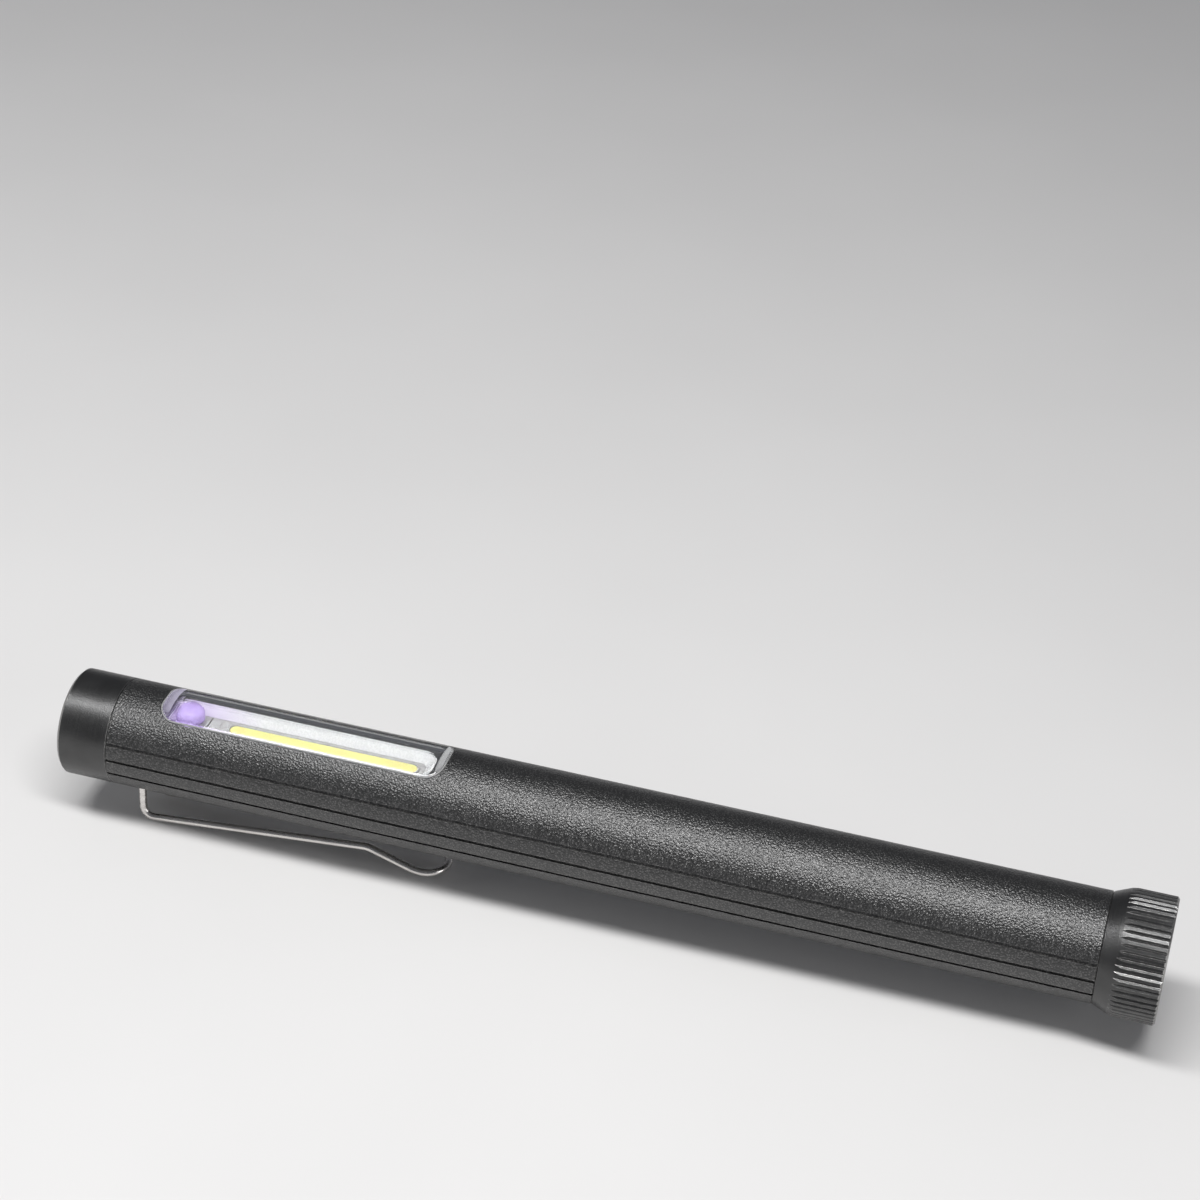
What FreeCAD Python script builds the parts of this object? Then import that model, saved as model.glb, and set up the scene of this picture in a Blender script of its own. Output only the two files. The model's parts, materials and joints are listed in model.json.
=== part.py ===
"""Pocket note checker: an aluminium penlight with a violet LED and a white light strip.

Lengths are in millimetres.  The sub-parts are drawn in the pen's own frame: X runs along the
axis from the front face to the tail, Y is across, and +Z is the way the window faces.
export() then moves each one so that the origin lies on the ground under the pen's middle.
"""
import FreeCAD, Part
import math
import os

# Outside
LENGTH = 158.3
BARREL_R = 7.75
FRONT_SEAM = 7.6
TAIL_SEAM = 149.6
TAIL_R = 8.8
SEAM_CHAMFER = 0.13

# Barrel
BORE_R = 6.15
TAIL_BORE_R = 6.75
TAIL_BORE_START = 142.2
FLUTE_ANGLES = (70.0, 89.0, 108.0)
FLUTE_WIDTH = 0.5
FLUTE_DEPTH = 0.3
FLUTE_OVERRUN = 0.6

# Window
WINDOW_X = (14.0, 56.7)
WINDOW_HALF = 4.16
WINDOW_CORNER = 2.75
WINDOW_PLAY = 0.1
WINDOW_CHAMFER = 0.12
LENS_R = 7.85
LENS_THICK = 1.1
LENS_CHAMFER = 0.26
LENS_ARCH_X = (15.4, 55.3)
PAD_THICK = 0.2
FRAME_TOP = 5.45
FRAME_BOTTOM = 4.5

# Light trough
TROUGH_X = (15.0, 54.2)
TROUGH_HALF = 2.9
TROUGH_CORNER = 2.2
TROUGH_SLOPE = 1.15
REFLECTOR_RIM = 0.3
REFLECTOR_BOTTOM = 4.25
BOARD_TOP = 4.2
BOARD_THICK = 0.8
BOARD_HALF = 2.3
STRIP_X = (23.8, 52.0)
STRIP_HALF = 0.97
STRIP_THICK = 0.25
VIOLET_X = 17.8
VIOLET_BASE_R = 1.5
VIOLET_BASE_TOP = 5.1
VIOLET_DOME_R = 1.8
VIOLET_DOME_HIGH = 1.4

# Lamp carrier and driver
CARRIER_X = (13.0, 56.8)
CARRIER_R = 6.05
CAVITY_X = (15.5, 54.0)
CAVITY_HALF = 4.3
CAVITY_TOP = 1.5
DRIVER_X = (17.0, 50.0)
DRIVER_TOP = 0.2
DRIVER_THICK = 1.0
LEAD_R = 0.35
LEAD_HOLE_R = 0.5
LAMP_LEAD_X = (19.6, 46.0)
LAMP_LEAD_Y = 1.2

# Front contact
HOLDER_X = (56.8, 58.3)
CONTACT_R = 3.0
CONTACT_THICK = 0.4
CONTACT_STEM_R = 0.5
CONTACT_STEM_START = 52.5
GROUND_X = 49.0
GROUND_THICK = 0.25

# Cells
CELL_R = 5.25
CELL_LONG = 43.5
CELL_NUB_R = 1.9
CELL_NUB_LONG = 1.0
SLEEVE_IN_R = 5.4
SLEEVE_OUT_R = 6.1

# Front cap, button and switch
CAP_CHAMFER = 0.39
CAP_LIP = 1.5
BUTTON_R = 4.5
BUTTON_HOLE_R = 4.57
BUTTON_FACE = 0.15
BUTTON_DISH = 0.3
BUTTON_FLANGE_R = 4.85
BUTTON_FLANGE_END = 2.3
BUTTON_BOSS_R = 1.6
BUTTON_BOSS_END = 3.5
CHAMBER_R = 4.95
SEAT_R = 5.25
SWITCH_BOARD_X = (6.2, 7.2)
SWITCH_SIDE = 4.5
SWITCH_FRONT = 4.2
PLUNGER_R = 1.0
PLUNGER_END = 5.2
PLUNGER_PLAY = 0.06
PRESS_TRAVEL = 0.4
SPIGOT_END = 12.6
SPIGOT_R = 6.1
SEAL_X = 8.5
SEAL_WIRE_R = 0.36
SEAL_GROOVE = 1.1
RING_X = (7.2, 8.4)

# Clip
WIRE_R = 0.56
CLIP_X = 11.0
CLIP_HALF = 3.0
CLIP_PIN_DEPTH = 4.7
CLIP_PIN_TIP = 1.0
CLIP_CORNER_DEPTH = 12.38
CLIP_NECK = (45.7, 8.82)
CLIP_TOE = (52.8, 11.2)
CLIP_TOE_END = 53.8
CLIP_BEND_R = (1.0, 1.6, 3.0, 6.0)
PIN_PLAY = 0.05
ANCHOR_X = (9.6, 12.6)
ANCHOR_HALF = 2.0
ANCHOR_WING = 4.0
SLOT_X = (10.15, 11.75)
SLOT_Y = (1.0, 3.8)

# Tail cap
SPIGOT_START = 142.6
THREAD_ROOT_R = 6.3
THREAD_CREST_R = 6.67
THREAD_PITCH = 1.0
THREAD_LONG = 3.0
THREAD_LEAD = 0.5
LAND_START = 147.0
TAIL_SEAL_X = 148.1
TAIL_SEAL_R = TAIL_BORE_R - 0.03 - SEAL_WIRE_R
SPRING_BORE_R = 5.45
SPRING_FLOOR = 152.6
MAGNET_X = (155.0, 158.0)
MAGNET_R = 6.0
FLARE_X = (151.5, 152.7)
FLARE_R = 8.5
TAIL_CHAMFER = 0.3
RIBS = 58
RIB_GROOVE_DEPTH = 0.2
RIB_GROOVE_SHARE = 0.56
SPRING_WIRE_R = 0.3
SPRING_TURNS = 4
SPRING_COIL_R = (2.6, 4.6)
SPRING_SEAT_THICK = 0.4

# The ground is level with the lowest point of the clip's corner.
CORNER_RISE = math.atan2(CLIP_CORNER_DEPTH - CLIP_NECK[1], CLIP_NECK[0] - CLIP_X)
CORNER_CUT = CLIP_BEND_R[1] * math.tan((math.pi / 2 - CORNER_RISE) / 2)
AXIS_HIGH = CLIP_CORNER_DEPTH - CORNER_CUT + CLIP_BEND_R[1] + WIRE_R
V = FreeCAD.Vector
X_AXIS = V(1, 0, 0)
Z_AXIS = V(0, 0, 1)


def export(node, *solids):
    """Write one sub-part, moved from the pen's frame to the ground under its middle."""
    placed = [solid.copy() for solid in solids]
    for solid in placed:
        solid.translate(V(-LENGTH / 2, 0, AXIS_HIGH))
    shape = placed[0] if len(placed) == 1 else Part.makeCompound(placed)
    shape.exportStep("parts/" + node + ".step")
    print(node, "volume", round(shape.Volume, 2), "valid", shape.isValid())


def rod(x0, x1, radius, y=0.0, z=0.0):
    """A round bar along X."""
    return Part.makeCylinder(radius, x1 - x0, V(x0, y, z), X_AXIS)


def post(z0, z1, radius, x, y):
    """A round bar along Z."""
    return Part.makeCylinder(radius, z1 - z0, V(x, y, z0), Z_AXIS)


def pipe(x0, x1, outer, inner):
    return rod(x0, x1, outer).cut(rod(x0 - 1, x1 + 1, inner))


def block(xs, ys, zs):
    corner = V(xs[0], ys[0], zs[0])
    return Part.makeBox(xs[1] - xs[0], ys[1] - ys[0], zs[1] - zs[0], corner)


def outline(x0, x1, half, corner, z):
    """A closed rounded rectangle in a plane of constant Z."""
    mids = ((x1 - corner, half - corner, 45), (x0 + corner, half - corner, 135),
            (x0 + corner, corner - half, 225), (x1 - corner, corner - half, 315))
    arcs = []
    for cx, cy, middle in mids:
        points = []
        for angle in (middle - 45, middle, middle + 45):
            turn = math.radians(angle)
            points.append(V(cx + corner * math.cos(turn), cy + corner * math.sin(turn), z))
        arcs.append(Part.Arc(*points).toShape())
    edges = []
    for here, after in zip(arcs, arcs[1:] + arcs[:1]):
        edges += [here, Part.makeLine(here.Vertexes[-1].Point, after.Vertexes[0].Point)]
    return Part.Wire(edges)


def slab(x0, x1, half, corner, z0, z1):
    """A plate with a rounded rectangular outline."""
    return Part.Face(outline(x0, x1, half, corner, z0)).extrude(V(0, 0, z1 - z0))


def turned(points):
    """A solid of revolution about the pen's axis from closed (x, radius) points."""
    corners = [V(x, 0, radius) for x, radius in points]
    face = Part.Face(Part.makePolygon(corners + corners[:1]))
    return face.revolve(V(0, 0, 0), X_AXIS, 360)


def seal(x, centre_r):
    ring = Part.makeTorus(centre_r, SEAL_WIRE_R, V(0, 0, 0), X_AXIS)
    ring.translate(V(x, 0, 0))
    return ring


def bent_wire(points, bends, radius):
    """A round wire along straight runs joined by tangent arcs, one bend for each inner point."""
    edges = []
    last = points[0]
    for before, corner, after, bend in zip(points, points[1:], points[2:], bends):
        back = (before - corner).normalize()
        ahead = (after - corner).normalize()
        half = back.getAngle(ahead) / 2
        cut = bend / math.tan(half)
        start = corner + back * cut
        end = corner + ahead * cut
        middle = corner + (back + ahead).normalize() * (bend / math.sin(half) - bend)
        if last.distanceToPoint(start) > 1e-6:
            edges.append(Part.makeLine(last, start))
        edges.append(Part.Arc(start, middle, end).toShape())
        last = end
    edges.append(Part.makeLine(last, points[-1]))
    path = Part.Wire(edges)
    section = Part.Wire(Part.makeCircle(radius, points[0], points[1] - points[0]))
    return path.makePipeShell([section], True, True)


# Barrel and caps

def barrel():
    """Tube with a window, side flutes, a tail counterbore and two slots for the clip."""
    tube = turned([
        (FRONT_SEAM, BORE_R), (FRONT_SEAM, BARREL_R - SEAM_CHAMFER),
        (FRONT_SEAM + SEAM_CHAMFER, BARREL_R), (TAIL_SEAM - SEAM_CHAMFER, BARREL_R),
        (TAIL_SEAM, BARREL_R - SEAM_CHAMFER), (TAIL_SEAM, TAIL_BORE_R),
        (TAIL_BORE_START, TAIL_BORE_R), (TAIL_BORE_START, BORE_R)])
    tube = tube.cut(slab(*WINDOW_X, WINDOW_HALF, WINDOW_CORNER, 3.0, BARREL_R + 1))
    tube = tube.makeChamfer(WINDOW_CHAMFER, [edge for edge in tube.Edges
                                             if edge.BoundBox.ZMin > BORE_R + 0.2])
    flute = block((FRONT_SEAM - 1, TAIL_SEAM + 1), (-FLUTE_WIDTH / 2, FLUTE_WIDTH / 2),
                  (BARREL_R - FLUTE_DEPTH, BARREL_R + FLUTE_OVERRUN))
    flutes = []
    for angle in FLUTE_ANGLES:
        for side in (-1, 1):
            turned_flute = flute.copy()
            turned_flute.rotate(V(0, 0, 0), X_AXIS, side * angle)
            flutes.append(turned_flute)
    tube = tube.cut(flutes)
    for side in (-1, 1):
        across = sorted((side * SLOT_Y[0], side * SLOT_Y[1]))
        tube = tube.cut(block(SLOT_X, across, (-BARREL_R - 1, -3.5)))
    return tube.removeSplitter()


def front_cap():
    """Turned cap: a lip round the button, a seat for the switch board and a notched spigot."""
    inner_chamfer = 0.25
    body = turned([
        (0, BUTTON_HOLE_R + inner_chamfer), (0, BARREL_R - CAP_CHAMFER),
        (CAP_CHAMFER, BARREL_R), (FRONT_SEAM - SEAM_CHAMFER, BARREL_R),
        (FRONT_SEAM, BARREL_R - SEAM_CHAMFER), (FRONT_SEAM, SPIGOT_R),
        (SPIGOT_END, SPIGOT_R), (SPIGOT_END, SEAT_R), (SWITCH_BOARD_X[0], SEAT_R),
        (SWITCH_BOARD_X[0], CHAMBER_R), (CAP_LIP, CHAMBER_R), (CAP_LIP, BUTTON_HOLE_R),
        (inner_chamfer, BUTTON_HOLE_R)])
    groove = pipe(SEAL_X - SEAL_GROOVE / 2, SEAL_X + SEAL_GROOVE / 2, SPIGOT_R + 1,
                  BORE_R - 2 * SEAL_WIRE_R)
    notch = block((ANCHOR_X[0] - 0.05, SPIGOT_END + 1), (-ANCHOR_WING - 0.1, ANCHOR_WING + 0.1),
                  (-SPIGOT_R - 1, -2.4))
    return body.cut([groove, notch])


def push_button():
    """Flanged button with a dished face and a boss that bears on the switch plunger."""
    edge = 0.25
    body = turned([
        (BUTTON_FACE, 0), (BUTTON_FACE, BUTTON_R - edge), (BUTTON_FACE + edge, BUTTON_R),
        (CAP_LIP, BUTTON_R), (CAP_LIP, BUTTON_FLANGE_R), (BUTTON_FLANGE_END, BUTTON_FLANGE_R),
        (BUTTON_FLANGE_END, BUTTON_BOSS_R), (BUTTON_BOSS_END, BUTTON_BOSS_R),
        (BUTTON_BOSS_END, 0)])
    rim = BUTTON_R - 0.7
    dish_r = (rim ** 2 + BUTTON_DISH ** 2) / (2 * BUTTON_DISH)
    return body.cut(Part.makeSphere(dish_r, V(BUTTON_FACE + BUTTON_DISH - dish_r, 0, 0)))


def switch_body():
    half = SWITCH_SIDE / 2
    body = block((SWITCH_FRONT, SWITCH_BOARD_X[0]), (-half, half), (-half, half))
    bore = rod(SWITCH_FRONT - 1, PLUNGER_END + PRESS_TRAVEL + 0.1, PLUNGER_R + PLUNGER_PLAY)
    return body.cut(bore)


# Window and lights

def window_plug(z0, z1):
    """A solid that fills the window opening with a little play."""
    return slab(WINDOW_X[0] + WINDOW_PLAY, WINDOW_X[1] - WINDOW_PLAY, WINDOW_HALF - WINDOW_PLAY,
                WINDOW_CORNER - WINDOW_PLAY, z0, z1)


def lens_pads():
    """Two soft pads between the window frame and the feet of the lens."""
    between = block(LENS_ARCH_X, (-9, 9), (FRAME_TOP - 1, FRAME_TOP + 1))
    return window_plug(FRAME_TOP, FRAME_TOP + PAD_THICK).cut(between).Solids


def lens():
    """Clear arched cover, level with the barrel, on a foot at each end."""
    cover = window_plug(FRAME_TOP, LENS_R + 1).common(rod(0, LENGTH, LENS_R))
    crown = [edge for edge in cover.Edges if edge.BoundBox.ZMin > FRAME_TOP + 0.2]
    cover = cover.makeChamfer(LENS_CHAMFER, crown)
    return cover.cut([rod(*LENS_ARCH_X, LENS_R - LENS_THICK)] + lens_pads())


def reflector_outline(play, z0, z1):
    rim = REFLECTOR_RIM + play
    return slab(TROUGH_X[0] - rim, TROUGH_X[1] + rim, TROUGH_HALF + rim, TROUGH_CORNER + rim, z0, z1)


def window_frame():
    """Black frame that fills the window under the lens and holds the reflector."""
    hole = reflector_outline(0.03, FRAME_BOTTOM - 1, FRAME_TOP + 1)
    return window_plug(FRAME_BOTTOM, FRAME_TOP).cut(hole)


def reflector():
    """White trough with sloping walls, open at the bottom over the light boards."""
    shell = reflector_outline(0, REFLECTOR_BOTTOM, FRAME_TOP)
    top = outline(*TROUGH_X, TROUGH_HALF, TROUGH_CORNER, FRAME_TOP)
    foot = outline(TROUGH_X[0] + TROUGH_SLOPE, TROUGH_X[1] - TROUGH_SLOPE,
                   TROUGH_HALF - TROUGH_SLOPE, TROUGH_CORNER - TROUGH_SLOPE, REFLECTOR_BOTTOM)
    return shell.cut(Part.makeLoft([foot, top], True, True))


def light_board(x0, x1):
    return block((x0, x1), (-BOARD_HALF, BOARD_HALF), (BOARD_TOP - BOARD_THICK, BOARD_TOP))


def violet_dome():
    ball = Part.makeSphere(VIOLET_DOME_R, V(0, 0, 0), Z_AXIS, 0, 90, 360)
    flatten = FreeCAD.Matrix()
    flatten.scale(1, 1, VIOLET_DOME_HIGH / VIOLET_DOME_R)
    dome = ball.transformGeometry(flatten)
    dome.translate(V(VIOLET_X, 0, VIOLET_BASE_TOP))
    return dome


# Lamp carrier, driver and wiring

def lamp_carrier():
    """Half-round cradle: boards lie in its top groove, the driver hangs in its lower cavity."""
    body = rod(*CARRIER_X, CARRIER_R)
    body = body.cut(block((0, LENGTH), (-9, 9), (BOARD_TOP, 9)))
    groove = block((14.4, 55.9), (-BOARD_HALF, BOARD_HALF), (BOARD_TOP - BOARD_THICK, 9))
    cavity = block(CAVITY_X, (-CAVITY_HALF, CAVITY_HALF), (-9, CAVITY_TOP))
    wire_way = block((CARRIER_X[0] - 1, CAVITY_X[0] + 1), (-2.0, 2.0), (0, CAVITY_TOP))
    stem_way = rod(CAVITY_X[1] - 1, CARRIER_X[1] + 1, CONTACT_STEM_R, z=-2.0)
    holes = [post(0, 4, LEAD_HOLE_R, x, y)
             for x in LAMP_LEAD_X for y in (-LAMP_LEAD_Y, LAMP_LEAD_Y)]
    return body.cut([groove, cavity, wire_way, stem_way] + holes)


def lamp_leads():
    return [post(DRIVER_TOP, BOARD_TOP - BOARD_THICK, LEAD_R, x, y)
            for x in LAMP_LEAD_X for y in (-LAMP_LEAD_Y, LAMP_LEAD_Y)]


def switch_leads():
    """Two insulated wires from the switch board to the front of the driver."""
    rest = DRIVER_TOP + LEAD_R
    leads = []
    for side in (-1, 1):
        y = side * 1.2
        route = [V(SWITCH_BOARD_X[1], y, 2.2), V(10.2, y, 2.2), V(13.2, y, rest + 0.25),
                 V(18.6, y, rest)]
        leads.append(bent_wire(route, (2.2, 2.6), LEAD_R))
    return leads


def driver_chips():
    """The driver's moulded parts: a controller and a timer on the board's lower face."""
    low = DRIVER_TOP - DRIVER_THICK
    return [block((x, x + long), (-1.95, 1.95), (low - 1.4, low))
            for x, long in ((23.0, 4.9), (36.5, 3.0))]


def driver_resistors():
    low = DRIVER_TOP - DRIVER_THICK
    return [block((x, x + 1.6), (y - 0.4, y + 0.4), (low - 0.5, low))
            for x in (19.5, 30.0, 41.5, 44.5) for y in (-2.9, 2.9)]


def driver_coil():
    low = DRIVER_TOP - DRIVER_THICK
    return post(low - 2.2, low, 2.1, 32.9, 0)


def front_contact():
    """Round plate that meets the first cell, with a raised middle and a stem to the driver."""
    plate = rod(HOLDER_X[1], HOLDER_X[1] + CONTACT_THICK, CONTACT_R)
    return plate.fuse(rod(CONTACT_STEM_START, HOLDER_X[1], CONTACT_STEM_R, z=-2.0)).removeSplitter()


def contact_holder():
    return rod(*HOLDER_X, CARRIER_R).cut(rod(HOLDER_X[0] - 1, HOLDER_X[1] + 1, CONTACT_STEM_R, z=-2.0))


def ground_leaf():
    """Bent strip that carries the return current from the barrel wall to the driver."""
    foot_z = -5.95
    upright = block((GROUND_X, GROUND_X + GROUND_THICK), (-1.2, 1.2), (foot_z, DRIVER_TOP - DRIVER_THICK))
    foot = block((GROUND_X - 3, GROUND_X), (-1.2, 1.2), (foot_z, foot_z + GROUND_THICK))
    return upright.fuse(foot).removeSplitter()


# Cells

def cell_start(index):
    """Where the terminal of a cell begins, counted from the front."""
    return HOLDER_X[1] + CONTACT_THICK + index * (CELL_LONG + CELL_NUB_LONG)


def cell(index):
    start = cell_start(index) + CELL_NUB_LONG
    can = rod(start, start + CELL_LONG, CELL_R)
    rims = [edge for edge in can.Edges if edge.Length > 1 and edge.BoundBox.XLength < 0.01]
    return can.makeFillet(0.4, rims)


def cell_terminal(index):
    start = cell_start(index)
    return rod(start, start + CELL_NUB_LONG, CELL_NUB_R)


# Clip

def clip():
    """One spring wire: inward pins, two legs, a sloping run, a toe and the loop that joins them."""
    def at(x, y, depth):
        return V(x, y, -depth)

    side = []
    for x, depth in ((CLIP_X, CLIP_PIN_DEPTH), (CLIP_X, CLIP_CORNER_DEPTH), CLIP_NECK, CLIP_TOE,
                     (CLIP_TOE_END + CLIP_HALF, CLIP_TOE[1])):
        side.append((x, depth))
    near = [at(x, -CLIP_HALF, depth) for x, depth in side]
    far = [at(x, CLIP_HALF, depth) for x, depth in reversed(side)]
    tip = at(CLIP_X, -CLIP_PIN_TIP, CLIP_PIN_DEPTH)
    other_tip = at(CLIP_X, CLIP_PIN_TIP, CLIP_PIN_DEPTH)
    bends = list(CLIP_BEND_R) + [CLIP_HALF, CLIP_HALF] + list(reversed(CLIP_BEND_R))
    return bent_wire([tip] + near + far + [other_tip], bends, WIRE_R)


def clip_anchor():
    """Block in the front of the bore with a cross bore in which the clip's pins turn."""
    wing = block(ANCHOR_X, (-ANCHOR_WING, ANCHOR_WING), (-3.6, -2.4))
    stem = block(ANCHOR_X, (-ANCHOR_HALF, ANCHOR_HALF), (-5.75, -3.6))
    body = wing.fuse(stem).removeSplitter()
    bore = Part.makeCylinder(WIRE_R + PIN_PLAY, 2 * ANCHOR_WING,
                             V(CLIP_X, -ANCHOR_WING, -CLIP_PIN_DEPTH), V(0, 1, 0))
    return body.cut(bore)


# Tail

def ribbed_bar(x0, x1):
    """Bar with straight V grooves all round, as wide as the tail cap."""
    pitch = 2 * math.pi / RIBS
    groove = pitch * RIB_GROOVE_SHARE
    edges = []
    for rib in range(RIBS):
        start = rib * pitch
        angles = (start, start + (pitch - groove) / 2, start + pitch - groove)
        land = [V(x0, TAIL_R * math.cos(a), TAIL_R * math.sin(a)) for a in angles]
        root_turn = start + pitch - groove / 2
        root_r = TAIL_R - RIB_GROOVE_DEPTH
        root = V(x0, root_r * math.cos(root_turn), root_r * math.sin(root_turn))
        after = V(x0, TAIL_R * math.cos(start + pitch), TAIL_R * math.sin(start + pitch))
        edges += [Part.Arc(*land).toShape(), Part.makeLine(land[2], root), Part.makeLine(root, after)]
    return Part.Face(Part.Wire(edges)).extrude(V(x1 - x0, 0, 0))


def thread_ridge():
    """Right-hand thread ridge, sunk a little into the root of the spigot."""
    sunk_r = THREAD_ROOT_R - 0.15
    helix = Part.makeHelix(THREAD_PITCH, THREAD_LONG, sunk_r)
    foot = THREAD_PITCH * 0.42
    crest = THREAD_PITCH * 0.1
    corners = [V(sunk_r, 0, -foot), V(THREAD_CREST_R, 0, -crest), V(THREAD_CREST_R, 0, crest),
               V(sunk_r, 0, foot)]
    profile = Part.makePolygon(corners + corners[:1])
    ridge = helix.makePipeShell([profile], True, True)
    ridge.rotate(V(0, 0, 0), V(0, 1, 0), 90)
    ridge.translate(V(SPIGOT_START + THREAD_LEAD, 0, 0))
    return ridge


def tail_cap():
    """Screw cap: threaded spigot with a spring bore, flared ribbed head, pocket for the magnet."""
    head = turned([
        (LAND_START, SPRING_BORE_R), (LAND_START, THREAD_CREST_R), (TAIL_SEAM, THREAD_CREST_R),
        (TAIL_SEAM, BARREL_R - SEAM_CHAMFER), (TAIL_SEAM + SEAM_CHAMFER, BARREL_R),
        (FLARE_X[0], FLARE_R), (FLARE_X[0] + 0.45, FLARE_R + 0.16),
        (FLARE_X[1], TAIL_R), (LENGTH - TAIL_CHAMFER, TAIL_R), (LENGTH, TAIL_R - TAIL_CHAMFER),
        (LENGTH, MAGNET_R), (MAGNET_X[0], MAGNET_R), (MAGNET_X[0], 0), (SPRING_FLOOR, 0),
        (SPRING_FLOOR, SPRING_BORE_R)])
    head = head.common(ribbed_bar(LAND_START - 1, LENGTH + 1))
    seal_groove = pipe(TAIL_SEAL_X - SEAL_GROOVE / 2, TAIL_SEAL_X + SEAL_GROOVE / 2, BARREL_R,
                       TAIL_SEAL_R - SEAL_WIRE_R)
    spigot = pipe(SPIGOT_START, LAND_START, THREAD_ROOT_R, SPRING_BORE_R).fuse(thread_ridge())
    return head.cut(seal_groove).fuse(spigot)


def tail_spring():
    """Conical spring between the last cell and its seat, its coils as quarter-turn arcs."""
    start = cell_start(2) + SPRING_WIRE_R
    rise = SPRING_FLOOR - SPRING_SEAT_THICK - SPRING_WIRE_R - start

    def at(turns):
        part = turns / SPRING_TURNS
        radius = SPRING_COIL_R[0] + (SPRING_COIL_R[1] - SPRING_COIL_R[0]) * part
        angle = 2 * math.pi * turns
        return V(start + rise * part, radius * math.cos(angle), radius * math.sin(angle))

    arcs = [Part.Arc(at(k / 4), at((k + 0.5) / 4), at((k + 1) / 4)).toShape()
            for k in range(4 * SPRING_TURNS)]
    first = arcs[0].tangentAt(arcs[0].FirstParameter)
    section = Part.Wire(Part.makeCircle(SPRING_WIRE_R, at(0), first))
    return Part.Wire(arcs).makePipeShell([section], True, True)


def main():
    os.makedirs("parts", exist_ok=True)
    export("barrel", barrel())
    export("front_cap", front_cap())
    export("front_cap_seal", seal(SEAL_X, BORE_R - SEAL_WIRE_R))
    export("push_button", push_button())
    export("switch_plunger", rod(BUTTON_BOSS_END, PLUNGER_END, PLUNGER_R))
    export("switch_body", switch_body())
    export("switch_board", rod(*SWITCH_BOARD_X, SEAT_R - 0.05))
    export("board_ring", pipe(*RING_X, SEAT_R - 0.05, 3.9))
    export("switch_leads", *switch_leads())
    export("lens", lens())
    export("lens_pads", *lens_pads())
    export("window_frame", window_frame())
    export("reflector", reflector())
    export("strip_board", light_board(20.6, 55.8))
    export("light_strip", block(STRIP_X, (-STRIP_HALF, STRIP_HALF), (BOARD_TOP, BOARD_TOP + STRIP_THICK)))
    export("violet_board", light_board(14.5, 20.4))
    export("violet_led_base", post(BOARD_TOP, VIOLET_BASE_TOP, VIOLET_BASE_R, VIOLET_X, 0))
    export("violet_led_dome", violet_dome())
    export("lamp_carrier", lamp_carrier())
    export("lamp_leads", *lamp_leads())
    export("driver_board", block(DRIVER_X, (-CAVITY_HALF, CAVITY_HALF),
                                 (DRIVER_TOP - DRIVER_THICK, DRIVER_TOP)))
    export("driver_chips", *driver_chips())
    export("driver_resistors", *driver_resistors())
    export("driver_coil", driver_coil())
    export("ground_leaf", ground_leaf())
    export("contact_holder", contact_holder())
    export("front_contact", front_contact())
    export("battery_sleeve", pipe(HOLDER_X[1], TAIL_BORE_START - 0.2, SLEEVE_OUT_R, SLEEVE_IN_R))
    for index, name in enumerate(("front_cell", "rear_cell")):
        export(name, cell(index))
        export(name + "_terminal", cell_terminal(index))
    export("clip", clip())
    export("clip_anchor", clip_anchor())
    export("tail_spring", tail_spring())
    export("spring_seat", rod(SPRING_FLOOR - SPRING_SEAT_THICK, SPRING_FLOOR, 5.2))
    export("tail_cap", tail_cap())
    export("tail_cap_seal", seal(TAIL_SEAL_X, TAIL_SEAL_R))
    export("tail_magnet", rod(*MAGNET_X, MAGNET_R - 0.05))
    print("axis height", round(AXIS_HIGH, 4), "length", LENGTH)


main()
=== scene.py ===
"""Looks of the pocket note checker, made round its CAD frame.  Lengths are in metres."""
import bmesh
import bpy
import json
import math
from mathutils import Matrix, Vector


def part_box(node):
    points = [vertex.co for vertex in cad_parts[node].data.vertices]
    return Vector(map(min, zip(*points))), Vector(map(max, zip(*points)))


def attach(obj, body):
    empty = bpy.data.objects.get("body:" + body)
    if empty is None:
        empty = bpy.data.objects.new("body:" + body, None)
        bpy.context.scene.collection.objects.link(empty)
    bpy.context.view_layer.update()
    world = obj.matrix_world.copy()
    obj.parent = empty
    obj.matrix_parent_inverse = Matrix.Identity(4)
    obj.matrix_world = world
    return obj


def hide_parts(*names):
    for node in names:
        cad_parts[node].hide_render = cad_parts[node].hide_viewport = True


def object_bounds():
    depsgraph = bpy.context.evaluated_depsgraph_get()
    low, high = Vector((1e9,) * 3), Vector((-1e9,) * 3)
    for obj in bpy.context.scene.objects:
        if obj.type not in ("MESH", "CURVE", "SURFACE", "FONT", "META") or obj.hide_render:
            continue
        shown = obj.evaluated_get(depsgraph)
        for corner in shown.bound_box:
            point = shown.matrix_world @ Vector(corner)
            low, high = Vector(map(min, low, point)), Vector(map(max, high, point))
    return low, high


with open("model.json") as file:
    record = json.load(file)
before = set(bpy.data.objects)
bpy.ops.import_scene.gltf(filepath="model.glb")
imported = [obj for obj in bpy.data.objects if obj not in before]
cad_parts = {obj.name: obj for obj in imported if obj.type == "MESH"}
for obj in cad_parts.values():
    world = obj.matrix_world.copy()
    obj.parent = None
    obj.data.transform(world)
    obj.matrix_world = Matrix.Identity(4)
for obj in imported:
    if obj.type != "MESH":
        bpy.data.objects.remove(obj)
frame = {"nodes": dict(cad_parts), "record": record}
cad_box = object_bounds()
MM = 0.001

# Camera: its place, its turn in degrees about X, Y and Z, and its lens and sensor in millimetres
CAMERA_PLACE = Vector((0.0783, -0.3082, 0.2657))
CAMERA_TURN = (56.13, -2.73, 16.45)
CAMERA_LENS = 87.0
CAMERA_SENSOR = 36.0

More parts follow.
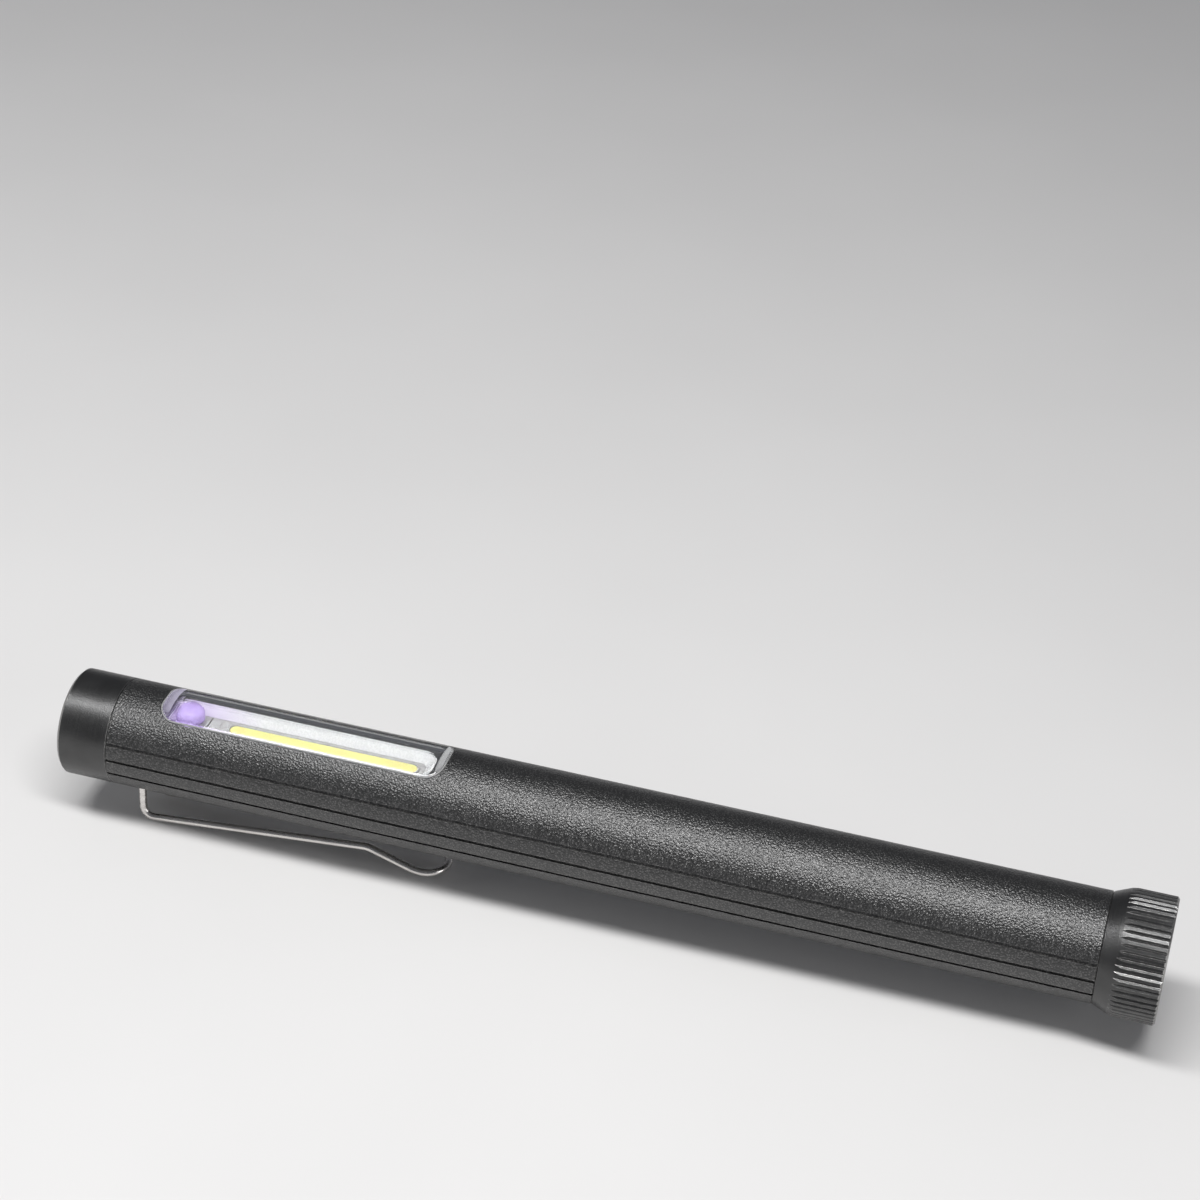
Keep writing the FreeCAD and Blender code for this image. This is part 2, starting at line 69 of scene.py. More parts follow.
# Lamps: where each stands, what it points at, its two sides, and its power in watts
OVERHEAD_BOX = ((-0.02, -0.15, 0.5), (0.0, 0.0, 0.0), (0.55, 0.09), 3.15)
FRONT_BOX = ((-0.6, -0.12, 0.2), (-0.08, 0.0, 0.02), (0.3, 0.3), 0.8)
TAIL_BOX = ((0.65, -0.18, 0.16), (0.07, 0.0, 0.02), (0.3, 0.25), 0.9)
SURROUND_TINT = (0.9, 0.92, 1.0, 1.0)
SURROUND_STRENGTH = 0.13
FLOOR_HALF = 3.0
FLOOR_SQUARES = 8

# Dome of the violet LED: its width and height are shares of the plain CAD one's
DOME_WIDER = 1.13
DOME_TALLER = 1.07
DOME_SKIRT = 0.4 * MM    # how far its wall goes on below the CAD dome
DOME_FULLNESS = 0.83     # 1.0 is an ellipse, less has fuller shoulders
DOME_STEPS = 12
DOME_SIDES = 48

# Bead of phosphor silicone on the light board
BEAD_STEPS = 7
BEAD_SHOULDER = 0.55     # share of its half width that leans in below the top
BEAD_TOP = 0.38          # half width of the flat top, as a share of the bead's
END_STEPS = 14           # steps round a half-round end

# Silicone lip round the bead, whose height is a share of the bead's
DAM_GAP = 0.03 * MM
DAM_WIDE = 0.3 * MM
DAM_HIGH = 0.8

# Clear cover and the grey bead round it, which is a painted highlight along the cover's edge
COVER_CORNER = 2.65 * MM
CORNER_STEPS = 10
RIM_HIGHLIGHT_INSIDE = 0.02 * MM  # middle of the bead, in from the cover's edge
RIM_HIGHLIGHT_HALF = 0.11 * MM
RIM_HIGHLIGHT_FLATNESS = 0.6      # its height as a share of its width
RIM_HIGHLIGHT_SINK = 0.12 * MM    # middle of the bead, below the cover's crown
RIM_HIGHLIGHT_SIDES = 10

# Points nearer than this become one
MERGE_DISTANCE = 1e-7

# Pale bevels at the pen's two ends, measured in from each end: partly bare cut metal, partly a painted
# highlight
BEVEL_REACH = 1 * MM     # they are pale up to here
BEVEL_FADE = 1.2 * MM    # and dark from here on

# Range in which most of the height of a grain, a line pattern or a noise lies
GRAIN_LOW = 0.3
GRAIN_HIGH = 0.7

# Light of the violet LED on the pale pieces beside it
SPILL_START = 2 * MM     # where it begins to fade, from the dome's front edge
SPILL_REACH = 11 * MM
SPILL_RAGGED = 1.5 * MM  # unevenness of its edge


# Node building

def add_node(tree, kind, inputs=None, **settings):
    """A node with its settings, whose inputs are plain values or other nodes' outputs."""
    node = tree.nodes.new(kind)
    for name, value in settings.items():
        setattr(node, name, value)
    for name, value in (inputs or {}).items():
        if isinstance(value, bpy.types.NodeSocket):
            tree.links.new(value, node.inputs[name])
        else:
            node.inputs[name].default_value = value
    return node


def maths(tree, operation, first, second=0.0):
    """One operation on one or two inputs, each a plain value or another node's output."""
    node = add_node(tree, "ShaderNodeMath", operation=operation)
    for socket, value in zip(node.inputs, (first, second)):
        if isinstance(value, bpy.types.NodeSocket):
            tree.links.new(value, socket)
        else:
            socket.default_value = value
    return node.outputs[0]


def stretch(tree, value, low, high, to_low=0.0, to_high=1.0):
    """Maps low..high onto to_low..to_high and keeps the result inside it."""
    node = add_node(tree, "ShaderNodeMapRange",
                    {"Value": value, "From Min": low, "From Max": high,
                     "To Min": to_low, "To Max": to_high})
    return node.outputs["Result"]


def mix_colour(tree, factor, first, second):
    """Goes from the first colour at factor 0 to the second at 1."""
    node = add_node(tree, "ShaderNodeMix", data_type="RGBA")
    for name, value in (("Factor_Float", factor), ("A_Color", first), ("B_Color", second)):
        socket = next(s for s in node.inputs if s.identifier == name)
        if isinstance(value, bpy.types.NodeSocket):
            tree.links.new(value, socket)
        else:
            socket.default_value = value
    return next(s for s in node.outputs if s.identifier == "Result_Color")


def noise(tree, vector, scale, detail=2.0, roughness=0.5):
    """Cloudy noise between 0 and 1."""
    node = add_node(tree, "ShaderNodeTexNoise",
                    {"Vector": vector, "Scale": scale, "Detail": detail, "Roughness": roughness})
    return node.outputs["Fac"]


def new_group(name, inputs, outputs):
    """An empty shader group with named float or vector sockets."""
    kinds = {"float": "NodeSocketFloat", "vector": "NodeSocketVector"}
    tree = bpy.data.node_groups.new(name, "ShaderNodeTree")
    for label, kind, value in inputs:
        socket = tree.interface.new_socket(label, in_out="INPUT", socket_type=kinds[kind])
        if value is not None:
            socket.default_value = value
    for label, kind in outputs:
        tree.interface.new_socket(label, in_out="OUTPUT", socket_type=kinds[kind])
    return tree, tree.nodes.new("NodeGroupInput"), tree.nodes.new("NodeGroupOutput")


# Effects that several finishes share

def make_grain():
    """Round pits of one size with finer roughness in them, as on blasted metal or a sparked mould."""
    tree, given, result = new_group("grain", [("Vector", "vector", None), ("Size mm", "float", 0.3)],
                                    [("Height", "float"), ("Speckle", "float")])
    finer = 1.7
    pit_share = 0.5
    fine_share = 0.5
    dark_at = 0.5
    bright_at = 0.2
    per_metre = maths(tree, "DIVIDE", 1.0 / MM, given.outputs["Size mm"])
    pits = add_node(tree, "ShaderNodeTexVoronoi", {"Vector": given.outputs["Vector"], "Scale": per_metre},
                    feature="F1").outputs["Distance"]
    fine = noise(tree, given.outputs["Vector"], maths(tree, "MULTIPLY", per_metre, finer), detail=1.0)
    height = maths(tree, "ADD", maths(tree, "MULTIPLY", pits, pit_share),
                   maths(tree, "MULTIPLY", fine, fine_share))
    tree.links.new(height, result.inputs["Height"])
    tree.links.new(stretch(tree, pits, dark_at, bright_at), result.inputs["Speckle"])
    return tree


def make_lathe_marks():
    """Feed marks that run round the pen's axis."""
    tree, given, result = new_group("lathe_marks",
                                    [("Vector", "vector", None), ("Feed mm", "float", 0.12)],
                                    [("Height", "float")])
    drawn_out_round_axis = (1.0, 0.02, 0.02)
    squeeze = add_node(tree, "ShaderNodeVectorMath",
                       {0: given.outputs["Vector"], 1: drawn_out_round_axis}, operation="MULTIPLY")
    per_metre = maths(tree, "DIVIDE", 1.0 / MM, given.outputs["Feed mm"])
    marks = noise(tree, squeeze.outputs["Vector"], per_metre, detail=3.0, roughness=0.7)
    tree.links.new(marks, result.inputs["Height"])
    return tree


def make_handling():
    """Smudges from fingers and sparse fine scratches."""
    tree, given, result = new_group("handling", [("Vector", "vector", None)],
                                    [("Smudge", "float"), ("Scratch", "float")])
    scratch_slant = (0.3, 0.5, 0.7)
    scratch_scale = (40.0, 2400.0, 900.0)
    broad = noise(tree, given.outputs["Vector"], scale=90.0, detail=3.0, roughness=0.6)
    tree.links.new(stretch(tree, broad, low=0.42, high=0.68), result.inputs["Smudge"])
    slant = add_node(tree, "ShaderNodeMapping",
                     {"Vector": given.outputs["Vector"], "Rotation": scratch_slant,
                      "Scale": scratch_scale})
    lines = noise(tree, slant.outputs["Vector"], scale=1.0, detail=1.0)
    patches = noise(tree, given.outputs["Vector"], scale=160.0, detail=1.0)
    scratch = maths(tree, "MULTIPLY", stretch(tree, lines, low=0.69, high=0.75),
                    stretch(tree, patches, low=0.5, high=0.6))
    tree.links.new(scratch, result.inputs["Scratch"])
    return tree


def make_edge_wear():
    """Where an edge is sharp enough to have lost a little of its colour."""
    tree, given, result = new_group("edge_wear",
                                    [("Vector", "vector", None), ("Width mm", "float", 0.12)],
                                    [("Wear", "float")])
    same_way = 0.99
    turned_away = 0.88
    width = maths(tree, "MULTIPLY", given.outputs["Width mm"], MM)
    round_off = add_node(tree, "ShaderNodeBevel", {"Radius": width}, samples=4)
    true_normal = add_node(tree, "ShaderNodeNewGeometry").outputs["Normal"]
    along = add_node(tree, "ShaderNodeVectorMath", {0: round_off.outputs["Normal"], 1: true_normal},
                     operation="DOT_PRODUCT")
    edge = stretch(tree, along.outputs["Value"], same_way, turned_away)
    patchy = noise(tree, given.outputs["Vector"], scale=1400.0, detail=3.0, roughness=0.7)
    chips = stretch(tree, patchy, low=0.35, high=0.62)
    tree.links.new(maths(tree, "MULTIPLY", edge, chips), result.inputs["Wear"])
    return tree


def make_drawn_lines():
    """Fine lines left by a draw plate or a rolling mill; the scale says which way they run."""
    tree, given, result = new_group("drawn_lines", [("Vector", "vector", None), ("Scale", "vector", None)],
                                    [("Height", "float")])
    squeeze = add_node(tree, "ShaderNodeVectorMath",
                       {0: given.outputs["Vector"], 1: given.outputs["Scale"]}, operation="MULTIPLY")
    lines = noise(tree, squeeze.outputs["Vector"], scale=1.0, detail=3.0, roughness=0.6)
    tree.links.new(lines, result.inputs["Height"])
    return tree


def make_tracks():
    """Thin tracks on a circuit board, 0 on a track and 1 on the plain mask between them."""
    tree, given, result = new_group("tracks", [("Vector", "vector", None)], [("Mask", "float")])
    areas_per_metre = 420.0
    cells = add_node(tree, "ShaderNodeTexVoronoi",
                     {"Vector": given.outputs["Vector"], "Scale": areas_per_metre},
                     feature="DISTANCE_TO_EDGE", distance="EUCLIDEAN")
    tree.links.new(stretch(tree, cells.outputs["Distance"], low=0.05, high=0.07), result.inputs["Mask"])
    return tree


def make_violet_spill():
    """How much of the violet LED's light a place takes up, from 1 beside it to 0 out of reach."""
    tree, given, result = new_group("violet_spill", [("Vector", "vector", None)], [("Share", "float")])
    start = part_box("violet_led_dome")[0].x + SPILL_START
    along = add_node(tree, "ShaderNodeSeparateXYZ", {"Vector": given.outputs["Vector"]}).outputs["X"]
    clouds = noise(tree, given.outputs["Vector"], scale=700.0, detail=2.0)
    ragged = maths(tree, "ADD", along, maths(tree, "MULTIPLY", clouds, SPILL_RAGGED))
    share = stretch(tree, ragged, start, start + SPILL_REACH, to_low=1.0, to_high=0.0)
    tree.links.new(share, result.inputs["Share"])
    return tree


GROUPS = {"grain": make_grain(), "lathe_marks": make_lathe_marks(), "handling": make_handling(),
          "edge_wear": make_edge_wear(), "drawn_lines": make_drawn_lines(), "tracks": make_tracks(),
          "violet_spill": make_violet_spill()}


def use_group(tree, name, **inputs):
    """A shared effect in a finish, with its inputs given by name."""
    node = add_node(tree, "ShaderNodeGroup", node_tree=GROUPS[name])
    for label, value in inputs.items():
        socket = node.inputs[label.replace("_", " ")]
        if isinstance(value, bpy.types.NodeSocket):
            tree.links.new(value, socket)
        else:
            socket.default_value = value
    return node


# Finishes

def new_finish(name, **constants):
    """A material with one Principled shader, whose constants sit on its own sockets."""
    material = bpy.data.materials.new(name)
    material.use_nodes = True
    tree = material.node_tree
    shader = tree.nodes["Principled BSDF"]
    for label, value in constants.items():
        shader.inputs[label.replace("_", " ")].default_value = value
    place = add_node(tree, "ShaderNodeTexCoord").outputs["Object"]
    return material, tree, shader, place


def bump(tree, shader, height, distance_mm):
    node = add_node(tree, "ShaderNodeBump",
                    {"Height": height, "Distance": distance_mm * MM, "Strength": 1.0})
    tree.links.new(node.outputs["Normal"], shader.inputs["Normal"])


def grey(value, warm=0.0):
    """A grey whose red is raised and whose blue is lowered by the share in warm."""
    return (value * (1 + warm), value, value * (1 - warm), 1.0)


def blasted_aluminium(name):
    """Black anodised tube with a coarse blasted grain that glitters in the light."""
    wear_share = 0.7
    smudge_rougher = 0.05
    material, tree, shader, place = new_finish(name, Metallic=0.9)
    grain = use_group(tree, "grain", Vector=place, Size_mm=0.3)
    touch = use_group(tree, "handling", Vector=place)
    wear = use_group(tree, "edge_wear", Vector=place, Width_mm=0.12).outputs["Wear"]
    dyed = mix_colour(tree, grain.outputs["Speckle"], grey(0.085), grey(0.16, 0.01))
    worn = maths(tree, "MULTIPLY", wear, wear_share)
    tree.links.new(mix_colour(tree, worn, dyed, grey(0.5, 0.02)), shader.inputs["Base Color"])
    rough = stretch(tree, grain.outputs["Height"], GRAIN_LOW, GRAIN_HIGH, to_low=0.4, to_high=0.32)
    rough = maths(tree, "ADD", rough, maths(tree, "MULTIPLY", touch.outputs["Smudge"], smudge_rougher))
    tree.links.new(rough, shader.inputs["Roughness"])
    bump(tree, shader, grain.outputs["Height"], distance_mm=0.13)
    return material


def bevel_highlight(tree, place):
    """1 on the slanted faces at the pen's two ends and 0 elsewhere: where the bevels get their paler
    colour, partly bare cut metal and partly a painted highlight.
    """
    too_flat, slant_from = 0.58, 0.64
    too_steep, slant_to = 0.95, 0.85
    normal = add_node(tree, "ShaderNodeTexCoord").outputs["Normal"]
    normal_x = add_node(tree, "ShaderNodeSeparateXYZ", {"Vector": normal}).outputs["X"]
    endward = maths(tree, "ABSOLUTE", normal_x)
    slanted = maths(tree, "MULTIPLY", stretch(tree, endward, too_flat, slant_from),
                    stretch(tree, endward, too_steep, slant_to))
    place_x = add_node(tree, "ShaderNodeSeparateXYZ", {"Vector": place}).outputs["X"]
    along = maths(tree, "ABSOLUTE", place_x)
    pen_end = cad_box[1][0]
    near_end = stretch(tree, along, pen_end - BEVEL_FADE, pen_end - BEVEL_REACH)
    return maths(tree, "MULTIPLY", slanted, near_end)


def turned_aluminium(name):
    """Satin black anodised metal with fine lathe marks, and a paler bevel at each end of the pen that is
    partly bare cut metal and partly a painted highlight.
    """
    wear_share = 0.75
    bevel_highlight_share = 0.32
    smudge_rougher = 0.06
    grain_share = 0.6
    material, tree, shader, place = new_finish(name, Metallic=0.9)
    marks = use_group(tree, "lathe_marks", Vector=place, Feed_mm=0.1).outputs["Height"]
    grain = use_group(tree, "grain", Vector=place, Size_mm=0.16)
    touch = use_group(tree, "handling", Vector=place)
    wear = use_group(tree, "edge_wear", Vector=place, Width_mm=0.14).outputs["Wear"]
    dyed = mix_colour(tree, touch.outputs["Smudge"], grey(0.08), grey(0.105))
    # Worn edges, and the end bevels painted pale as a highlight, both go to the pale grey
    wear_and_bevel_highlight = maths(tree, "MAXIMUM", maths(tree, "MULTIPLY", wear, wear_share),
                 maths(tree, "MULTIPLY", bevel_highlight(tree, place), bevel_highlight_share))
    tree.links.new(mix_colour(tree, wear_and_bevel_highlight, dyed, grey(0.62, 0.02)), shader.inputs["Base Color"])
    rough = maths(tree, "ADD", stretch(tree, marks, GRAIN_LOW, GRAIN_HIGH, to_low=0.28, to_high=0.4),
                  maths(tree, "MULTIPLY", touch.outputs["Smudge"], smudge_rougher))
    tree.links.new(rough, shader.inputs["Roughness"])
    fine = maths(tree, "MULTIPLY", grain.outputs["Height"], grain_share)
    bump(tree, shader, maths(tree, "ADD", marks, fine), distance_mm=0.024)
    return material


def bright_metal(name, colour, rough, draw):
    """Plated or drawn metal: faint lines along or round the part, scratches and a dulled skin."""
    dulled_share = 0.8
    line_rougher = 0.12
    scratch_rougher = 0.2
    material, tree, shader, place = new_finish(name, Metallic=1.0)
    lines = use_group(tree, "drawn_lines", Vector=place, Scale=draw).outputs["Height"]
    touch = use_group(tree, "handling", Vector=place)
    dulled = tuple(dulled_share * c for c in colour[:3]) + (1.0,)
    dull = mix_colour(tree, touch.outputs["Smudge"], colour, dulled)
    line_dirt = stretch(tree, lines, low=0.35, high=0.65, to_low=0.0, to_high=0.25)
    tree.links.new(mix_colour(tree, line_dirt, dull, grey(0.35, 0.05)), shader.inputs["Base Color"])
    rougher = maths(tree, "ADD", stretch(tree, lines, GRAIN_LOW, GRAIN_HIGH, rough, rough + line_rougher),
                    maths(tree, "MULTIPLY", touch.outputs["Scratch"], scratch_rougher))
    tree.links.new(rougher, shader.inputs["Roughness"])
    bump(tree, shader, lines, distance_mm=0.008)
    return material


def moulded(name, colour, rough, grain_mm=0.15, depth_mm=0.01, **constants):
    """Moulded plastic or rubber: spark-eroded grain, faint mottling and finger marks."""
    grain_lighter = 1.12
    least_lift = 0.004
    grain_rougher = 0.1
    smudge_rougher = 0.08
    material, tree, shader, place = new_finish(name, **constants)
    grain = use_group(tree, "grain", Vector=place, Size_mm=grain_mm)
    touch = use_group(tree, "handling", Vector=place)
    lighter = tuple(min(1.0, c * grain_lighter + least_lift) for c in colour[:3]) + (1.0,)
    tone = mix_colour(tree, grain.outputs["Height"], colour, lighter)
    tree.links.new(tone, shader.inputs["Base Color"])
    rougher = stretch(tree, grain.outputs["Height"], GRAIN_LOW, GRAIN_HIGH, rough, rough + grain_rougher)
    rougher = maths(tree, "ADD", rougher, maths(tree, "MULTIPLY", touch.outputs["Smudge"], smudge_rougher))
    tree.links.new(rougher, shader.inputs["Roughness"])
    bump(tree, shader, grain.outputs["Height"], depth_mm)
    return material


def let_light_through(tree, shader, share):
    """Lets lamps shine through a clear piece, as its true bent light is too costly to follow."""
    is_shadow = add_node(tree, "ShaderNodeLightPath").outputs["Is Shadow Ray"]
    clear = add_node(tree, "ShaderNodeBsdfTransparent", {"Color": (share, share, share, 1.0)})
    blend = add_node(tree, "ShaderNodeMixShader", {"Fac": is_shadow})
    tree.links.new(shader.outputs["BSDF"], blend.inputs[1])
    tree.links.new(clear.outputs["BSDF"], blend.inputs[2])
    tree.links.new(blend.outputs["Shader"], tree.nodes["Material Output"].inputs["Surface"])


def clear_cover(name):
    """Clear polycarbonate with a gently rippled skin."""
    scratch_rougher = 0.15
    light_share = 0.7
    material, tree, shader, place = new_finish(name, Metallic=0.0, IOR=1.5, Transmission_Weight=1.0,
                                               Base_Color=(0.97, 0.98, 0.99, 1.0))
    touch = use_group(tree, "handling", Vector=place)
    smudged = stretch(tree, touch.outputs["Smudge"], low=0.0, high=1.0, to_low=0.01, to_high=0.04)
    rough = maths(tree, "ADD", smudged, maths(tree, "MULTIPLY", touch.outputs["Scratch"], scratch_rougher))
    tree.links.new(rough, shader.inputs["Roughness"])
    bump(tree, shader, noise(tree, place, scale=220.0, detail=1.0), distance_mm=0.01)
    let_light_through(tree, shader, light_share)
    return material


def led_silicone(name):
    """Milky violet dome with a faint glow, a little deeper in colour at its middle."""
    core_radius = 0.6 * MM
    rim_radius = 2.4 * MM
    core_ragged = 0.6 * MM
    core_colour, rim_colour = (0.32, 0.23, 0.48, 1.0), (0.42, 0.34, 0.57, 1.0)
    core_glow, rim_glow = (0.34, 0.18, 0.64, 1.0), (0.4, 0.26, 0.68, 1.0)
    material, tree, shader, place = new_finish(name, Metallic=0.0, IOR=1.42, Transmission_Weight=0.25,
                                               Emission_Strength=0.3)
    low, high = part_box("violet_led_dome")
    middle = (low + high) / 2
    away = add_node(tree, "ShaderNodeVectorMath", {0: place, 1: (middle.x, middle.y, low.z)},
                    operation="DISTANCE").outputs["Value"]
    haze = noise(tree, place, scale=900.0, detail=2.0)
    ragged = maths(tree, "ADD", away, maths(tree, "MULTIPLY", haze, core_ragged))
    outer = stretch(tree, ragged, core_radius, rim_radius)
    tree.links.new(mix_colour(tree, outer, core_colour, rim_colour), shader.inputs["Base Color"])
    tree.links.new(mix_colour(tree, outer, core_glow, rim_glow), shader.inputs["Emission Color"])
    rough = stretch(tree, haze, GRAIN_LOW, GRAIN_HIGH, to_low=0.14, to_high=0.3)
    tree.links.new(rough, shader.inputs["Roughness"])
    bump(tree, shader, haze, distance_mm=0.02)
    return material


def phosphor(name):
    """Soft yellow silicone, paler where it is thin over the white board."""
    full_half = 0.7 * MM
    thin_half = 1.2 * MM
    ragged = 0.35 * MM
    thick_colour, thin_colour = (0.63, 0.6, 0.24, 1.0), (0.66, 0.63, 0.36, 1.0)
    material, tree, shader, place = new_finish(name, Metallic=0.0, Subsurface_Weight=0.3,
                                               Subsurface_Scale=0.3 * MM)
    middle = sum(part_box("light_strip"), Vector()) / 2
    across = add_node(tree, "ShaderNodeSeparateXYZ", {"Vector": place}).outputs["Y"]
    from_middle = maths(tree, "ABSOLUTE", maths(tree, "SUBTRACT", across, middle.y))
    mottle = maths(tree, "MULTIPLY", noise(tree, place, scale=1500.0, detail=2.0), ragged)
    thin = stretch(tree, maths(tree, "ADD", from_middle, mottle), full_half, thin_half)
    tree.links.new(mix_colour(tree, thin, thick_colour, thin_colour), shader.inputs["Base Color"])
    rough = stretch(tree, mottle, low=0.0, high=0.3 * MM, to_low=0.35, to_high=0.55)
    tree.links.new(rough, shader.inputs["Roughness"])
    bump(tree, shader, noise(tree, place, scale=2600.0, detail=2.0), distance_mm=0.02)
    return material


def paint_violet_led_light(material, tint, glow):
    """Paints the violet LED's light onto a pale finish: a violet colour and a glow where it lies within
    reach of the LED.
    """
    tree = material.node_tree
    shader = tree.nodes["Principled BSDF"]
    place = add_node(tree, "ShaderNodeTexCoord").outputs["Object"]
    near = use_group(tree, "violet_spill", Vector=place).outputs["Share"]
    plain = shader.inputs["Base Color"].links[0].from_socket
    # Painted violet light of the LED: a violet base colour and a violet glow near it
    tree.links.new(mix_colour(tree, near, plain, tint), shader.inputs["Base Color"])
    tree.links.new(mix_colour(tree, near, grey(0.0), glow), shader.inputs["Emission Color"])
    return material


def lit_reflector(name):
    """Pale glossy moulding of the light trough, with the violet LED's light painted on beside the LED."""
    tint, glow = (0.43, 0.37, 0.5, 1.0), (0.24, 0.15, 0.4, 1.0)
    plain = moulded(name, grey(0.49), rough=0.22, grain_mm=0.3, depth_mm=0.006,
                    Coat_Weight=0.4, Emission_Strength=0.2)
    return paint_violet_led_light(plain, tint, glow)


def pale_pads(name):
    """Soft pale silicone under the ends of the clear cover, with the violet LED's light painted on beside
    the LED.
    """
    tint, glow = (0.72, 0.69, 0.77, 1.0), (0.22, 0.2, 0.27, 1.0)
    plain = moulded(name, grey(0.8), rough=0.45, grain_mm=0.12, Emission_Strength=0.2)
    return paint_violet_led_light(plain, tint, glow)


def circuit_board(name, mask, track):
    """Solder mask over thin raised tracks that show through it."""
    grain_share = 0.3
    material, tree, shader, place = new_finish(name, Metallic=0.0, Coat_Weight=0.3)
    plain = use_group(tree, "tracks", Vector=place).outputs["Mask"]
    tree.links.new(mix_colour(tree, plain, track, mask), shader.inputs["Base Color"])
    grain = use_group(tree, "grain", Vector=place, Size_mm=0.1).outputs["Height"]
    rough = stretch(tree, grain, GRAIN_LOW, GRAIN_HIGH, to_low=0.3, to_high=0.42)
    tree.links.new(rough, shader.inputs["Roughness"])
    height = maths(tree, "SUBTRACT", maths(tree, "MULTIPLY", grain, grain_share), plain)
    bump(tree, shader, height, distance_mm=0.02)
    return material


def floor_paint(name):
    """Pale matt paint, very faintly clouded."""
    material, tree, shader, place = new_finish(name, Metallic=0.0)
    tone = noise(tree, place, scale=14.0, detail=3.0)
    tree.links.new(mix_colour(tree, tone, grey(0.70, 0.01), grey(0.74, 0.01)), shader.inputs["Base Color"])
    rough = stretch(tree, tone, GRAIN_LOW, GRAIN_HIGH, to_low=0.55, to_high=0.65)
    tree.links.new(rough, shader.inputs["Roughness"])
    return material


# How fine each metal's lines are along X, Y and Z: they run the way they are least fine
WIRE_DRAW = (60.0, 1800.0, 1800.0)
ROLLED_DRAW = (1200.0, 90.0, 90.0)
PLATED_DRAW = (700.0, 260.0, 260.0)

# The light board's mask and tracks are a mid grey: partly a grey board, partly painted shade for the band
# beside the bead in the far wall's shade
WHITE_MASK = grey(0.36, 0.01)
WHITE_TRACK = grey(0.31, 0.02)
GREEN_MASK = (0.02, 0.16, 0.07, 1.0)
GREEN_TRACK = (0.06, 0.3, 0.14, 1.0)
LEAD_RED = (0.4, 0.015, 0.012, 1.0)
BRASS = (0.78, 0.62, 0.36, 1.0)
WRAP_BLUE = (0.03, 0.05, 0.1, 1.0)

FINISHES = {
    "anodised_aluminium": blasted_aluminium("blasted_black_aluminium"),
    "turned_aluminium": turned_aluminium("turned_black_aluminium"),
    "button_plastic": moulded("button_moulding", grey(0.028), rough=0.42, grain_mm=0.2, depth_mm=0.015),
    "seal_rubber": moulded("seal_rubber", grey(0.018), rough=0.55, grain_mm=0.1),
    "spring_steel": bright_metal("drawn_clip_wire", grey(0.78, 0.03), rough=0.22, draw=WIRE_DRAW),
    "lens_clear": clear_cover("clear_cover"),
    "frame_black": moulded("frame_moulding", grey(0.045), rough=0.3),
    "reflector_white": lit_reflector("reflector_moulding"),
    "pad_silicone": pale_pads("pad_silicone"),
    "board_white": circuit_board("white_light_board", WHITE_MASK, WHITE_TRACK),
    "phosphor_yellow": phosphor("phosphor_silicone"),
    "led_ceramic": moulded("led_ceramic", grey(0.8), rough=0.35, grain_mm=0.08, depth_mm=0.004),
    "led_dome": led_silicone("led_silicone"),
    "carrier_grey": moulded("carrier_nylon", grey(0.07), rough=0.45, grain_mm=0.25, depth_mm=0.02),
    "board_green": circuit_board("driver_board_mask", GREEN_MASK, GREEN_TRACK),
    "chip_black": moulded("chip_epoxy", grey(0.02), rough=0.5, grain_mm=0.1, depth_mm=0.01),
    "resistor_ceramic": moulded("resistor_ceramic", grey(0.1), rough=0.35, grain_mm=0.1, depth_mm=0.006),
    "coil_ferrite": moulded("coil_ferrite", grey(0.06, 0.05), rough=0.6, grain_mm=0.15, depth_mm=0.03),
    "wire_red_black": moulded("lead_insulation", LEAD_RED, rough=0.4, grain_mm=0.2, depth_mm=0.006),
    "contact_brass": bright_metal("contact_brass", BRASS, rough=0.22, draw=ROLLED_DRAW),
    "sleeve_plastic": moulded("sleeve_film", grey(0.55), rough=0.4, grain_mm=0.3, depth_mm=0.008),
    "cell_wrap": moulded("cell_wrap", WRAP_BLUE, rough=0.25, grain_mm=0.4, depth_mm=0.006, Coat_Weight=0.5),
    "plated_steel": bright_metal("nickel_plate", grey(0.7, 0.02), rough=0.14, draw=PLATED_DRAW),
}

for part in frame["record"]["subparts"]:
    for material_slot in frame["nodes"][part["node"]].material_slots:
        material_slot.material = FINISHES[part["material_slot"]]


# Pieces made here

def new_piece(name, form, material):
    """A smooth-shaded piece in one finish; the form is used up."""
    mesh = bpy.data.meshes.new(name)
    form.to_mesh(mesh)
    form.free()
    mesh.materials.append(material)
    piece = bpy.data.objects.new(name, mesh)
    bpy.context.scene.collection.objects.link(piece)
    for face in mesh.polygons:
        face.use_smooth = True
    return piece


def stadium(low, high, half, z):
    """Points round a long shape with half-round ends, anticlockwise from above."""
    points = []
    for centre, first in ((high - half, -90), (low + half, 90)):
        for step in range(END_STEPS + 1):
            turn = math.radians(first + 180 * step / END_STEPS)
            points.append(Vector((centre + half * math.cos(turn), half * math.sin(turn), z)))
    return points


def rounded_box(low, high, half, corner):
    """Points of a rounded rectangle from above, each with its outward direction."""
    path = []
    for across, up, first in ((high - corner, corner - half, -90), (high - corner, half - corner, 0),
                              (low + corner, half - corner, 90), (low + corner, corner - half, 180)):
        for step in range(CORNER_STEPS + 1):
            turn = math.radians(first + 90 * step / CORNER_STEPS)
            outward = Vector((math.cos(turn), math.sin(turn), 0.0))
            path.append((Vector((across, up, 0.0)) + corner * outward, outward))
    return path


def frame_axis_height():
    """Height of the tube's own axis above the ground."""
    low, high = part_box("rear_cell")
    return (low.z + high.z) / 2


def rings_to_form(rings, closed):
    """Skins a stack of point rings of equal length, and closes both ends if asked."""
    form = bmesh.new()
    loops = [[form.verts.new(point) for point in ring] for ring in rings]
    for lower, upper in zip(loops, loops[1:]):
        count = len(lower)
        for k in range(count):
            form.faces.new((lower[k], lower[(k + 1) % count], upper[(k + 1) % count], upper[k]))
    if closed:
        form.faces.new(loops[-1])
        form.faces.new(list(reversed(loops[0])))
    return form


